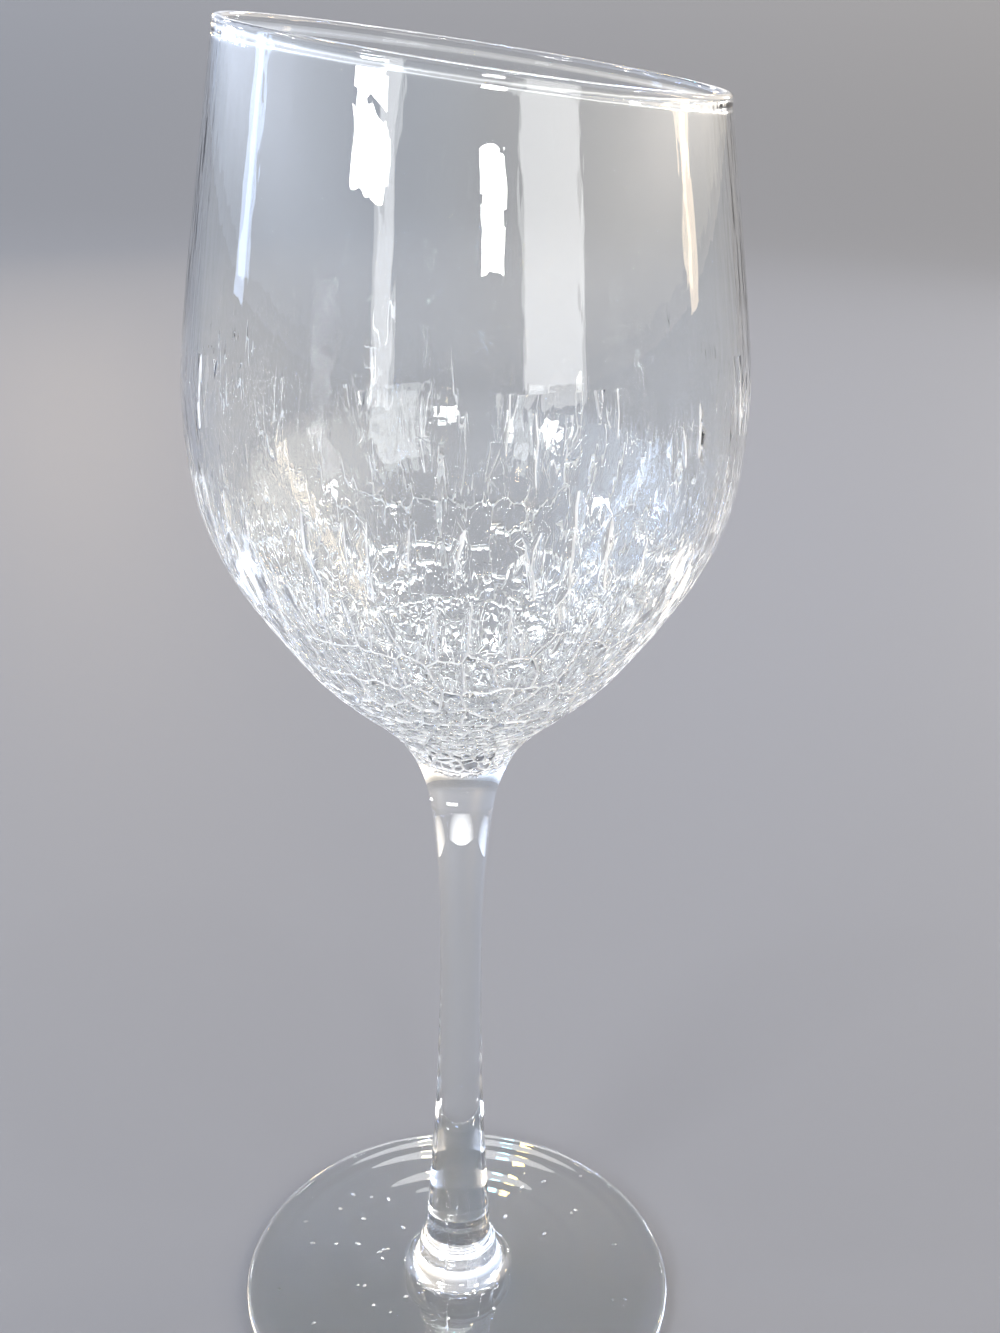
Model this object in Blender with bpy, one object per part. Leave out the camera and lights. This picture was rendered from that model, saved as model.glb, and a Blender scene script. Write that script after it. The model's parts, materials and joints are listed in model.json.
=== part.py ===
"""Crackle wine glass with a slanted rim, one blown and fused piece of clear glass.

The outer side of the lower bowl is covered in flat plates with V grooves between them, from
hot glass dipped in water and fired again. The inside stays smooth. +Z is up, the foot rests
on z = 0 and the rim is highest on the -X side.
"""

import bmesh
import bpy
import math
import random

MM = 0.001

# Lengths of the sections along the axis, from the table up
FOOT_HUB_HEIGHT = 4.8
COLLAR_HEIGHT = 9.2
STEM_LOWER_LENGTH = 69.0
STEM_UPPER_LENGTH = 25.0
BOWL_FLARE_LENGTH = 34.3
BOWL_SHOULDER_LENGTH = 44.1
BOWL_MOUTH_LENGTH = 49.8

# Diameters and slopes of the outside
FOOT_DIAMETER = 86.0
FOOT_HUB_DIAMETER = 22.0
COLLAR_DIAMETER = 15.2
STEM_FOOT_DIAMETER = 12.8
STEM_WAIST_DIAMETER = 7.8
STEM_TOP_DIAMETER = 10.5
BOWL_FLARE_DIAMETER = 56.9
BOWL_DIAMETER = 90.4
RIM_DIAMETER = 76.4
FLARE_SLOPE = math.radians(37.0)
RIM_SLANT = math.radians(7.3)

# Glass thickness
FOOT_EDGE_THICKNESS = 1.9
FOOT_REST_WIDTH = 4.0
FOOT_DISH_DEPTH = 0.7
CUP_FLOOR_THICKNESS = 13.5
WALL_FLARE = 2.3
WALL_BELLY = 1.6
WALL_RIM = 1.25
RIM_BEAD_SWELL = 0.18

# Crackle
CRACKLE_START = 12.0
CRACKLE_END = 54.0
PLATE_WIDTH_LOW = 3.7
PLATE_WIDTH_HIGH = 6.4
PLATE_STRETCH_HIGH = 2.3
GROOVE_DEPTH = 0.42
GROOVE_HALF_WIDTH = 0.42
SHORTEST_GROOVE = 0.9
SEED = 11

# Mesh counts
FOOT_SEGMENTS = 72
STEM_SEGMENTS = 24
RIM_SEGMENTS = 60
CUP_SEGMENTS = 48

COLLAR_TOP = FOOT_HUB_HEIGHT + COLLAR_HEIGHT
WAIST_Z = COLLAR_TOP + STEM_LOWER_LENGTH
STEM_TOP_Z = WAIST_Z + STEM_UPPER_LENGTH
FLARE_Z = STEM_TOP_Z + BOWL_FLARE_LENGTH
BELLY_Z = FLARE_Z + BOWL_SHOULDER_LENGTH
MOUTH_Z = BELLY_Z + BOWL_MOUTH_LENGTH


def bezier(start, first, second, end, count):
    """Points (radius, height) along one cubic curve, the start left out."""
    points = []
    for i in range(1, count + 1):
        t = i / count
        u = 1 - t
        points.append(tuple(
            u ** 3 * a + 3 * u * u * t * b + 3 * u * t * t * c + t ** 3 * d
            for a, b, c, d in zip(start, first, second, end)))
    return points


def toward(point, slope, distance):
    """The point this far along a line that leaves the vertical by the slope."""
    return point[0] + distance * math.sin(slope), point[1] + distance * math.cos(slope)


class Outline:
    """A meridian read by distance along it, or by height where it only climbs."""

    def __init__(self, points):
        self.points = points
        self.along = [0.0]
        for a, b in zip(points, points[1:]):
            self.along.append(self.along[-1] + math.dist(a, b))

    def find(self, keys, value):
        low, high = 0, len(keys) - 1
        while high - low > 1:
            middle = (low + high) // 2
            if keys[middle] <= value:
                low = middle
            else:
                high = middle
        part = (value - keys[low]) / (keys[high] - keys[low])
        return low, part

    def at(self, distance, depth=0.0):
        """(radius, height) at a distance along, moved into the glass by the depth."""
        low, part = self.find(self.along, distance)
        a, b = self.points[low], self.points[low + 1]
        run = math.dist(a, b)
        return (a[0] + (b[0] - a[0]) * part - depth * (b[1] - a[1]) / run,
                a[1] + (b[1] - a[1]) * part + depth * (b[0] - a[0]) / run)

    def along_at(self, height):
        low, part = self.find([z for _, z in self.points], height)
        return self.along[low] + (self.along[low + 1] - self.along[low]) * part


# Outer and inner meridians of the bowl, both run on past the rim and are trimmed by its plane
stem_top = (STEM_TOP_DIAMETER / 2, STEM_TOP_Z)
flare = (BOWL_FLARE_DIAMETER / 2, FLARE_Z)
belly = (BOWL_DIAMETER / 2, BELLY_Z)
lean = (BOWL_DIAMETER - RIM_DIAMETER) / 2 / BOWL_MOUTH_LENGTH
past_rim = (RIM_DIAMETER / 2 - lean * 12.0, MOUTH_Z + 10.0)
outer = Outline(
    [stem_top]
    + bezier(stem_top, toward(stem_top, 0.1, BOWL_FLARE_LENGTH * 0.61),
             toward(flare, FLARE_SLOPE, -BOWL_FLARE_LENGTH * 0.5), flare, 40)
    + bezier(flare, toward(flare, FLARE_SLOPE, BOWL_SHOULDER_LENGTH * 0.52),
             toward(belly, 0, -BOWL_SHOULDER_LENGTH * 0.42), belly, 40)
    + bezier(belly, toward(belly, 0, BOWL_MOUTH_LENGTH * 0.15),
             toward(past_rim, -0.162, -BOWL_MOUTH_LENGTH * 0.8), past_rim, 40))
cup_floor = (0.0, STEM_TOP_Z + CUP_FLOOR_THICKNESS)
flare_in = (flare[0] - WALL_FLARE * math.cos(FLARE_SLOPE),
            flare[1] + WALL_FLARE * math.sin(FLARE_SLOPE))
belly_in = (belly[0] - WALL_BELLY, belly[1])
past_rim_in = (past_rim[0] - WALL_RIM, past_rim[1])
inner = Outline(
    [cup_floor]
    + bezier(cup_floor, (flare[0] * 0.12, cup_floor[1]),
             toward(flare_in, FLARE_SLOPE, -BOWL_FLARE_LENGTH * 0.56), flare_in, 40)
    + bezier(flare_in, toward(flare_in, FLARE_SLOPE, BOWL_SHOULDER_LENGTH * 0.5),
             toward(belly_in, 0, -BOWL_SHOULDER_LENGTH * 0.42), belly_in, 40)
    + bezier(belly_in, toward(belly_in, 0, BOWL_MOUTH_LENGTH * 0.15),
             toward(past_rim_in, -0.162, -BOWL_MOUTH_LENGTH * 0.8), past_rim_in, 40))


def rim_distance(outline, angle):
    """Distance along the outline at which it meets the slanted plane of the rim."""
    height = MOUTH_Z
    for _ in range(8):
        radius = outline.at(outline.along_at(height))[0]
        height = MOUTH_Z - radius * math.cos(angle) * math.tan(RIM_SLANT)
    return outline.along_at(height)


mesh = bmesh.new()


def spot(radius, height, angle):
    return mesh.verts.new((radius * math.cos(angle) * MM, radius * math.sin(angle) * MM,
                           height * MM))


def ring(radius, height, count):
    return [spot(radius, height, math.tau * i / count) for i in range(count)]


def band(lower, upper):
    """Joins two rings round the axis, which may differ in count, seen from outside."""
    a, b = len(lower), len(upper)
    i = j = 0
    while i < a or j < b:
        if j == b or (i < a and (i + 1) / a <= (j + 1) / b + 1e-9):
            mesh.faces.new((lower[i % a], lower[(i + 1) % a], upper[j % b]))
            i += 1
        else:
            mesh.faces.new((lower[i % a], upper[(j + 1) % b], upper[j % b]))
            j += 1


def stack(rings):
    for lower, upper in zip(rings, rings[1:]):
        band(lower, upper)


def cap(around, height, up):
    middle = spot(0.0, height, 0.0)
    for a, b in zip(around, around[1:] + around[:1]):
        mesh.faces.new((a, b, middle) if up else (b, a, middle))


# Foot: a thin disc with a rounded edge, dished below inside a flat ring that it rests on
foot_radius = FOOT_DIAMETER / 2
half_edge = FOOT_EDGE_THICKNESS / 2
rest_outer = foot_radius - half_edge
rest_inner = rest_outer - FOOT_REST_WIDTH
hub = (FOOT_HUB_DIAMETER / 2, FOOT_HUB_HEIGHT)
dish = ring(hub[0], FOOT_DISH_DEPTH, STEM_SEGMENTS)
cap(dish, FOOT_DISH_DEPTH * 1.1, False)
under = [
    dish,
    ring((hub[0] + rest_inner) / 2, FOOT_DISH_DEPTH * 0.72, STEM_SEGMENTS * 2),
    ring(rest_inner, 0.0, FOOT_SEGMENTS),
    ring(rest_outer, 0.0, FOOT_SEGMENTS)]
edge = [
    ring(rest_outer + half_edge * math.sin(turn), half_edge * (1 - math.cos(turn)), FOOT_SEGMENTS)
    for turn in (math.radians(45), math.radians(90), math.radians(135))]
top_edge = (rest_outer, FOOT_EDGE_THICKNESS)
rise = FOOT_HUB_HEIGHT - FOOT_EDGE_THICKNESS
top = [ring(*top_edge, FOOT_SEGMENTS)]
for radius, height in bezier(top_edge, (foot_radius * 0.7, top_edge[1] + rise * 0.34),
                             (foot_radius * 0.45, hub[1] - rise * 0.3), hub, 4):
    top.append(ring(radius, height, FOOT_SEGMENTS if radius > hub[0] * 2 else STEM_SEGMENTS * 2))

# Stem: a collar where it was stuck to the foot, then a long taper to the waist and out again
collar = (COLLAR_DIAMETER / 2, FOOT_HUB_HEIGHT + COLLAR_HEIGHT * 0.68)
stem_foot = (STEM_FOOT_DIAMETER / 2, COLLAR_TOP)
waist = (STEM_WAIST_DIAMETER / 2, WAIST_Z)
stem = (
    bezier(hub, (hub[0] * 0.84, hub[1] + COLLAR_HEIGHT * 0.08),
           (collar[0] * 1.08, collar[1] - COLLAR_HEIGHT * 0.4), collar, 4)
    + bezier(collar, (collar[0] * 0.98, collar[1] + COLLAR_HEIGHT * 0.14),
             (stem_foot[0], stem_foot[1] - COLLAR_HEIGHT * 0.2), stem_foot, 3)
    + bezier(stem_foot, toward(stem_foot, -0.04, STEM_LOWER_LENGTH * 0.3),
             toward(waist, 0, -STEM_LOWER_LENGTH * 0.62), waist, 9)
    + bezier(waist, toward(waist, 0, STEM_UPPER_LENGTH * 0.35),
             toward(stem_top, 0.1, -STEM_UPPER_LENGTH * 0.5), stem_top, 5))
crackle_start = outer.along_at(STEM_TOP_Z + CRACKLE_START)
stem += [outer.at(crackle_start * part) for part in (0.35, 0.7)]
base = under + edge + top + [ring(radius, height, STEM_SEGMENTS) for radius, height in stem]
stack(base)

# Crackle: a Voronoi pattern on the surface, unrolled so that its plates are about as tall as
# wide there, then stretched along the bowl toward the top
crackle_end = outer.along_at(FLARE_Z + CRACKLE_END)
STEPS = 240


def share(distance):
    return min(1.0, max(0.0, (distance - crackle_start) / (crackle_end - crackle_start)))


def plate_width(distance):
    part = share(distance)
    return PLATE_WIDTH_LOW + (PLATE_WIDTH_HIGH - PLATE_WIDTH_LOW) * part


def stretch(distance):
    part = min(1.0, max(0.0, (share(distance) - 0.25) / 0.35))
    return 1.0 + (PLATE_STRETCH_HIGH - 1.0) * part * part * (3 - 2 * part)


distances = [crackle_start + (crackle_end - crackle_start) * i / STEPS for i in range(STEPS + 1)]
unrolled = [0.0]
for near, far in zip(distances, distances[1:]):
    middle = (near + far) / 2
    unrolled.append(unrolled[-1] + (far - near) / (outer.at(middle)[0] * stretch(middle)))
rolled = Outline(list(zip(distances, unrolled)))


def distance_of(level):
    low, part = rolled.find(unrolled, min(unrolled[-1], max(0.0, level)))
    return distances[low] + (distances[low + 1] - distances[low]) * part


chance = random.Random(SEED)
rows = []
level = 0.0
while True:
    here = distance_of(level)
    count = max(8, round(math.tau * outer.at(here)[0] / plate_width(here)))
    if level == 0.0:
        count = STEM_SEGMENTS
    pitch = math.tau / count
    if unrolled[-1] - level < pitch * 1.7:
        break
    rows.append((level + pitch / 2, count, pitch))
    level += pitch
rows.append(((level + unrolled[-1]) / 2, RIM_SEGMENTS, unrolled[-1] - level))
seeds = []
mirrored = []
for number, (row_level, count, pitch) in enumerate(rows):
    shift = 0.5 if number in (0, len(rows) - 1) else chance.random()
    loose = 0.0 if number in (0, len(rows) - 1) else 0.31
    for i in range(count):
        angle = math.tau / count * (i + shift + chance.uniform(-loose, loose))
        seeds.append((angle % math.tau, row_level + pitch * chance.uniform(-loose, loose)))
for number, edge_level in ((0, 0.0), (len(rows) - 1, unrolled[-1])):
    row_level, count, pitch = rows[number]
    for i in range(count):
        mirrored.append((math.tau / count * (i + 0.5), 2 * edge_level - row_level))
copies = [(angle + turn * math.tau, height) for turn in (-1, 0, 1)
          for angle, height in seeds + mirrored if -1.2 < angle + turn * math.tau < math.tau + 1.2]


def plate_round(home):
    """The corners of the area nearer to this seed than to any other."""
    shape = [(home[0] + x, home[1] + y) for x, y in ((-1, -1), (1, -1), (1, 1), (-1, 1))]
    near = sorted((math.dist(home, other), other) for other in copies)
    for gap, other in near[1:]:
        if gap > 2 * max(math.dist(home, corner) for corner in shape):
            break
        away = (other[0] - home[0], other[1] - home[1])
        limit = (away[0] * (other[0] + home[0]) + away[1] * (other[1] + home[1])) / 2
        over = [x * away[0] + y * away[1] - limit for x, y in shape]
        kept = []
        for i, (x, y) in enumerate(shape):
            j = (i + 1) % len(shape)
            if over[i] <= 0:
                kept.append((x, y))
            if over[i] * over[j] < 0:
                part = over[i] / (over[i] - over[j])
                kept.append((x + (shape[j][0] - x) * part, y + (shape[j][1] - y) * part))
        shape = kept
    return shape


# Plates share their corners, and a corner keeps its number one turn on
GRID = 1e-4
corner_places = []
corner_at = {}


def corner_number(angle, height):
    """The number of the corner at this place, and the turn at which it was asked for."""
    turn = math.floor(angle / math.tau + GRID)
    place = (angle - turn * math.tau, height)
    cell = (round(place[0] / GRID), round(place[1] / GRID))
    for x in (0, -1, 1):
        for y in (0, -1, 1):
            number = corner_at.get((cell[0] + x, cell[1] + y))
            if number is not None:
                return number, turn
    corner_at[cell] = len(corner_places)
    corner_places.append(place)
    return corner_at[cell], turn


plates = [[corner_number(*corner) for corner in plate_round(home)] for home in seeds]

# Corners closer together than the shortest groove become one, held with the turns between them
leader = [(number, 0) for number in range(len(corner_places))]


def lead(number, turn):
    while leader[number][0] != number:
        number, more = leader[number]
        turn += more
    return number, turn


def on_edge(place):
    return min(abs(place[1]), abs(place[1] - unrolled[-1])) < GRID


for plate in plates:
    for first, second in zip(plate, plate[1:] + plate[:1]):
        a, b = lead(*first), lead(*second)
        place_a, place_b = corner_places[a[0]], corner_places[b[0]]
        radius = outer.at(distance_of((place_a[1] + place_b[1]) / 2))[0]
        wide = (place_a[0] - place_b[0] + (a[1] - b[1]) * math.tau) * radius
        tall = distance_of(place_a[1]) - distance_of(place_b[1])
        if a[0] == b[0] or math.hypot(wide, tall) > SHORTEST_GROOVE:
            continue
        if not on_edge(place_b):
            leader[b[0]] = (a[0], a[1] - b[1])
        elif not on_edge(place_a):
            leader[a[0]] = (b[0], b[1] - a[1])


def fade(distance):
    part = share(distance)
    low = min(1.0, part / 0.05)
    high = min(1.0, (1.0 - part) / 0.22)
    return max(0.0, min(low, high)) ** 0.7


corner_verts = {}
for key, (angle, height) in enumerate(corner_places):
    if leader[key][0] == key:
        distance = distance_of(height)
        radius, z = outer.at(distance, GROOVE_DEPTH * fade(distance))
        corner_verts[key] = spot(radius, z, angle)
for number, plate in enumerate(plates):
    corners = []
    for key, turn in plate:
        key, turn = lead(key, turn)
        if not corners or corners[-1][0] != key:
            corners.append((key, turn))
    if corners[0][0] == corners[-1][0]:
        corners.pop()
    home_radius = outer.at(distance_of(seeds[number][1]))[0]
    flat = [((corner_places[key][0] + turn * math.tau) * home_radius,
             distance_of(corner_places[key][1])) for key, turn in corners]
    middle = [sum(p[axis] for p in flat) / len(flat) for axis in (0, 1)]
    inset = []
    for i, here in enumerate(flat):
        before, after = flat[i - 1], flat[(i + 1) % len(flat)]
        run_in, run_out = math.dist(before, here), math.dist(here, after)
        normal_in = ((before[1] - here[1]) / run_in, (here[0] - before[0]) / run_in)
        normal_out = ((here[1] - after[1]) / run_out, (after[0] - here[0]) / run_out)
        both = 1 + normal_in[0] * normal_out[0] + normal_in[1] * normal_out[1]
        width = GROOVE_HALF_WIDTH * (0.35 + 0.65 * fade(here[1])) / max(both, 0.5)
        move = [width * (normal_in[axis] + normal_out[axis]) for axis in (0, 1)]
        reach = math.dist(here, middle) * 0.55
        limit = min(1.0, reach / max(1e-6, math.hypot(*move)))
        x, y = here[0] + move[0] * limit, here[1] + move[1] * limit
        y = min(crackle_end - 0.05, max(crackle_start + 0.05, y))
        inset.append(spot(*outer.at(y), x / home_radius))
    rim_verts = [corner_verts[key] for key, _ in corners]
    for i in range(len(rim_verts)):
        j = (i + 1) % len(rim_verts)
        mesh.faces.new((rim_verts[i], rim_verts[j], inset[j]))
        mesh.faces.new((rim_verts[i], inset[j], inset[i]))
    mesh.faces.new(inset)


def edge_ring(edge_level):
    found = [(math.atan2(v.co.y, v.co.x) % math.tau, v) for key, v in corner_verts.items()
             if abs(corner_places[key][1] - edge_level) < GRID]
    turned = [(angle if angle < math.tau - 1e-4 else 0.0, v) for angle, v in found]
    return [v for _, v in sorted(turned, key=lambda pair: pair[0])]


band(base[-1], edge_ring(0.0))

# Upper bowl: clear wall up to the slanted rim, which is rounded by the flame
def wall_ring(outline, start, part, count):
    found = []
    for i in range(count):
        angle = math.tau * i / count
        end = rim_distance(outline, angle)
        found.append(spot(*outline.at(start + (end - start) * part), angle))
    return found


mouth = [wall_ring(outer, crackle_end, part, RIM_SEGMENTS) for part in (0.25, 0.5, 0.75, 0.95)]
lip = []
for turn in (0, 45, 90, 135, 180):
    row = []
    for i in range(RIM_SEGMENTS):
        angle = math.tau * i / RIM_SEGMENTS
        outside = outer.at(rim_distance(outer, angle))
        inside = inner.at(rim_distance(inner, angle))
        half = (outside[0] - inside[0]) / 2
        swell = half + RIM_BEAD_SWELL
        row.append(spot((outside[0] + inside[0]) / 2 + swell * math.cos(math.radians(turn)),
                        (outside[1] + inside[1]) / 2 + swell * math.sin(math.radians(turn)),
                        angle))
    lip.append(row)
belly_in_along = inner.along_at(BELLY_Z)
down = [wall_ring(inner, belly_in_along, part, CUP_SEGMENTS) for part in (0.95, 0.6, 0.3, 0.0)]
stack([edge_ring(unrolled[-1])] + mouth + lip + down)

# Cup: smooth inside, down to its rounded floor
cup = [down[-1]]
for part in (0.88, 0.76, 0.65, 0.55, 0.46, 0.38, 0.30, 0.23, 0.17, 0.12, 0.075):
    radius, height = inner.at(belly_in_along * part)
    cup.append(ring(radius, height, CUP_SEGMENTS if radius > 14 else STEM_SEGMENTS))
stack(cup)
cap(cup[-1], cup_floor[1], True)

for leftover in list(bpy.data.objects):
    bpy.data.objects.remove(leftover)
bmesh.ops.triangulate(mesh, faces=mesh.faces[:])
data = bpy.data.meshes.new("wine_glass")
mesh.to_mesh(data)
mesh.free()
wine_glass = bpy.data.objects.new("wine_glass", data)
bpy.context.scene.collection.objects.link(wine_glass)
glass = bpy.data.materials.new("clear_glass")
glass.use_nodes = True
shader = glass.node_tree.nodes["Principled BSDF"]
shader.inputs["Base Color"].default_value = (0.96, 0.98, 0.98, 1.0)
shader.inputs["Roughness"].default_value = 0.03
shader.inputs["IOR"].default_value = 1.5
shader.inputs["Transmission Weight"].default_value = 1.0
data.materials.append(glass)
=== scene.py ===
"""Crackle wine glass with a slanted rim, standing on a pale studio floor."""
import bmesh
import bpy
import json
import math
import random
from mathutils import Matrix, Vector, noise

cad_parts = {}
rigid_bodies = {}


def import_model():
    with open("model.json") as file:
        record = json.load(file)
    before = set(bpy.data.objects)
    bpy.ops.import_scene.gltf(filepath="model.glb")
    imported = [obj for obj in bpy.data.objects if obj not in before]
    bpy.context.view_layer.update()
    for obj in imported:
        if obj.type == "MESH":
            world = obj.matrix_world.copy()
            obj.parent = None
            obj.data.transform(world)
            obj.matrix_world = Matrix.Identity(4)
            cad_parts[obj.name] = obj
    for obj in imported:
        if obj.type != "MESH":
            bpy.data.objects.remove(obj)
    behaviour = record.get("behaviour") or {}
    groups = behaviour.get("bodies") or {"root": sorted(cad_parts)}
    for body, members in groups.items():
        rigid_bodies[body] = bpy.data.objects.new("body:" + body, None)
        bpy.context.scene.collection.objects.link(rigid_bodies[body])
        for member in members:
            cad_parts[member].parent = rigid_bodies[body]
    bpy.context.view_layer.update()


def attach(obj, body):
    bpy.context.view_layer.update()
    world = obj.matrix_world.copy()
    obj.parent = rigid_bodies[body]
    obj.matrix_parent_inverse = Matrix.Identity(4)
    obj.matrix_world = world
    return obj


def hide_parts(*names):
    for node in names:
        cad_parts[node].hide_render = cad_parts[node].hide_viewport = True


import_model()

# Glass body
# A blown bowl, a drawn stem and a pressed foot of clear soda glass, fused hot. The lower bowl was
# dipped in water while it glowed, which cracked its skin into plates, and fired again, so that
# the cracks healed into grooves. The rim was cut on a slant and rounded by a flame.
MM = 0.001
FOOT_HUB_HEIGHT = 4.8
COLLAR_HEIGHT = 9.2
STEM_LOWER_LENGTH = 69.0
STEM_UPPER_LENGTH = 25.0
BOWL_FLARE_LENGTH = 34.3
BOWL_SHOULDER_LENGTH = 44.1
BOWL_MOUTH_LENGTH = 49.8
FOOT_DIAMETER = 86.0
FOOT_HUB_DIAMETER = 22.0
COLLAR_DIAMETER = 15.2
STEM_FOOT_DIAMETER = 12.8
STEM_WAIST_DIAMETER = 7.8
STEM_TOP_DIAMETER = 10.5
BOWL_FLARE_DIAMETER = 56.9
BOWL_DIAMETER = 90.26
RIM_DIAMETER = 76.4
STEM_TOP_SLOPE = 0.1
FLARE_SLOPE = math.radians(37.0)
RIM_SLOPE = -0.162
RIM_SLANT = math.radians(7.3)
FOOT_EDGE_THICKNESS = 1.9
FOOT_REST_WIDTH = 4.0
FOOT_DISH_DEPTH = 0.7
FOOT_RIPPLE_HEIGHT = 0.022
FOOT_RIPPLE_LENGTH = 5.2
FOOT_RIPPLE_START = 19.0
FOOT_RIPPLE_FADES = (6.0, 4.0)
CUP_FLOOR_THICKNESS = 13.5
WALL_FLARE = 2.3
WALL_BELLY = 1.6
WALL_RIM = 1.25
RIM_BEAD_SWELL = 0.18
CRACKLE_START = 12.0
CRACKLE_END = 54.0
OUTLINE_POINTS = 60
FOOT_SEGMENTS = 192
STEM_SEGMENTS = 64
RIM_SEGMENTS = 144
CUP_SEGMENTS = 192

COLLAR_TOP = FOOT_HUB_HEIGHT + COLLAR_HEIGHT
WAIST_Z = COLLAR_TOP + STEM_LOWER_LENGTH
STEM_TOP_Z = WAIST_Z + STEM_UPPER_LENGTH
FLARE_Z = STEM_TOP_Z + BOWL_FLARE_LENGTH
BELLY_Z = FLARE_Z + BOWL_SHOULDER_LENGTH
MOUTH_Z = BELLY_Z + BOWL_MOUTH_LENGTH


def bezier(start, first, second, end, count):
    """Points (radius, height) along one cubic curve, the start left out."""
    points = []
    for i in range(1, count + 1):
        t = i / count
        u = 1 - t
        points.append(tuple(
            u ** 3 * a + 3 * u * u * t * b + 3 * u * t * t * c + t ** 3 * d
            for a, b, c, d in zip(start, first, second, end)))
    return points


def toward(point, slope, distance):
    """The point this far along a line that leaves the vertical by the slope."""
    return point[0] + distance * math.sin(slope), point[1] + distance * math.cos(slope)


def find(keys, value):
    """The span of the rising keys that holds the value, and how far into it the value is."""
    low, high = 0, len(keys) - 1
    while high - low > 1:
        middle = (low + high) // 2
        if keys[middle] <= value:
            low = middle
        else:
            high = middle
    return low, (value - keys[low]) / (keys[high] - keys[low])


class Outline:
    """A meridian read by distance along it, or by height where it only climbs."""

    def __init__(self, points):
        self.points = points
        self.along = [0.0]
        for a, b in zip(points, points[1:]):
            self.along.append(self.along[-1] + math.dist(a, b))

    def at(self, distance, depth=0.0):
        """(radius, height) at a distance along, moved into the glass by the depth."""
        low, part = find(self.along, distance)
        a, b = self.points[low], self.points[low + 1]
        run = math.dist(a, b)
        return (a[0] + (b[0] - a[0]) * part - depth * (b[1] - a[1]) / run,
                a[1] + (b[1] - a[1]) * part + depth * (b[0] - a[0]) / run)

    def along_at(self, height):
        """The distance along at which it reaches a height."""
        low, part = find([z for _, z in self.points], height)
        return self.along[low] + (self.along[low + 1] - self.along[low]) * part


stem_top = (STEM_TOP_DIAMETER / 2, STEM_TOP_Z)
flare = (BOWL_FLARE_DIAMETER / 2, FLARE_Z)
belly = (BOWL_DIAMETER / 2, BELLY_Z)
lean = (BOWL_DIAMETER - RIM_DIAMETER) / 2 / BOWL_MOUTH_LENGTH
# Both outlines run on past the rim, so that its slanted plane can cut them
PAST_RIM_RISE = 10.0
PAST_RIM_RUN = 12.0
past_rim = (RIM_DIAMETER / 2 - lean * PAST_RIM_RUN, MOUTH_Z + PAST_RIM_RISE)
outer = Outline(
    [stem_top]
    + bezier(stem_top, toward(stem_top, STEM_TOP_SLOPE, BOWL_FLARE_LENGTH * 0.61),
             toward(flare, FLARE_SLOPE, -BOWL_FLARE_LENGTH * 0.5), flare, OUTLINE_POINTS)
    + bezier(flare, toward(flare, FLARE_SLOPE, BOWL_SHOULDER_LENGTH * 0.52),
             toward(belly, 0, -BOWL_SHOULDER_LENGTH * 0.42), belly, OUTLINE_POINTS)
    + bezier(belly, toward(belly, 0, BOWL_MOUTH_LENGTH * 0.15),
             toward(past_rim, RIM_SLOPE, -BOWL_MOUTH_LENGTH * 0.8), past_rim, OUTLINE_POINTS))
cup_floor = (0.0, STEM_TOP_Z + CUP_FLOOR_THICKNESS)
flare_in = (flare[0] - WALL_FLARE * math.cos(FLARE_SLOPE),
            flare[1] + WALL_FLARE * math.sin(FLARE_SLOPE))
belly_in = (belly[0] - WALL_BELLY, belly[1])
past_rim_in = (past_rim[0] - WALL_RIM, past_rim[1])
inner = Outline(
    [cup_floor]
    + bezier(cup_floor, (flare[0] * 0.12, cup_floor[1]),
             toward(flare_in, FLARE_SLOPE, -BOWL_FLARE_LENGTH * 0.56), flare_in, OUTLINE_POINTS)
    + bezier(flare_in, toward(flare_in, FLARE_SLOPE, BOWL_SHOULDER_LENGTH * 0.5),
             toward(belly_in, 0, -BOWL_SHOULDER_LENGTH * 0.42), belly_in, OUTLINE_POINTS)
    + bezier(belly_in, toward(belly_in, 0, BOWL_MOUTH_LENGTH * 0.15),
             toward(past_rim_in, RIM_SLOPE, -BOWL_MOUTH_LENGTH * 0.8), past_rim_in,
             OUTLINE_POINTS))


def rim_distance(outline, angle):
    """Distance along the outline at which it meets the slanted plane of the rim, homed in on."""
    height = MOUTH_Z
    for _ in range(8):
        radius = outline.at(outline.along_at(height))[0]
        height = MOUTH_Z - radius * math.cos(angle) * math.tan(RIM_SLANT)
    return outline.along_at(height)


# The mesh: vertices, faces by vertex number, and the numbers of the faces that are flat chips or
# torn walls
spots = []
faces = []
sharp_faces = set()
crack_faces = set()


def spot(radius, height, angle):
    """Adds a vertex and gives its number."""
    spots.append((radius * math.cos(angle) * MM, radius * math.sin(angle) * MM, height * MM))
    return len(spots) - 1


def ring(radius, height, count):
    """A level ring of vertices round the axis."""
    return [spot(radius, height, math.tau * i / count) for i in range(count)]


def band(lower, upper):
    """Joins two rings round the axis, which may differ in count, seen from outside."""
    a, b = len(lower), len(upper)
    if a == b:
        for i in range(a):
            j = (i + 1) % a
            faces.append((lower[i], lower[j], upper[j], upper[i]))
        return
    i = j = 0
    while i < a or j < b:
        if j == b or (i < a and (i + 1) / a <= (j + 1) / b + 1e-9):
            faces.append((lower[i % a], lower[(i + 1) % a], upper[j % b]))
            i += 1
        else:
            faces.append((lower[i % a], upper[(j + 1) % b], upper[j % b]))
            j += 1


def stack(rings):
    """Joins each ring to the next."""
    for lower, upper in zip(rings, rings[1:]):
        band(lower, upper)


def cap(around, height, up):
    """Closes a ring with a point on the axis, to face up or down."""
    middle = spot(0.0, height, 0.0)
    for a, b in zip(around, around[1:] + around[:1]):
        faces.append((a, b, middle) if up else (b, a, middle))


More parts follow.
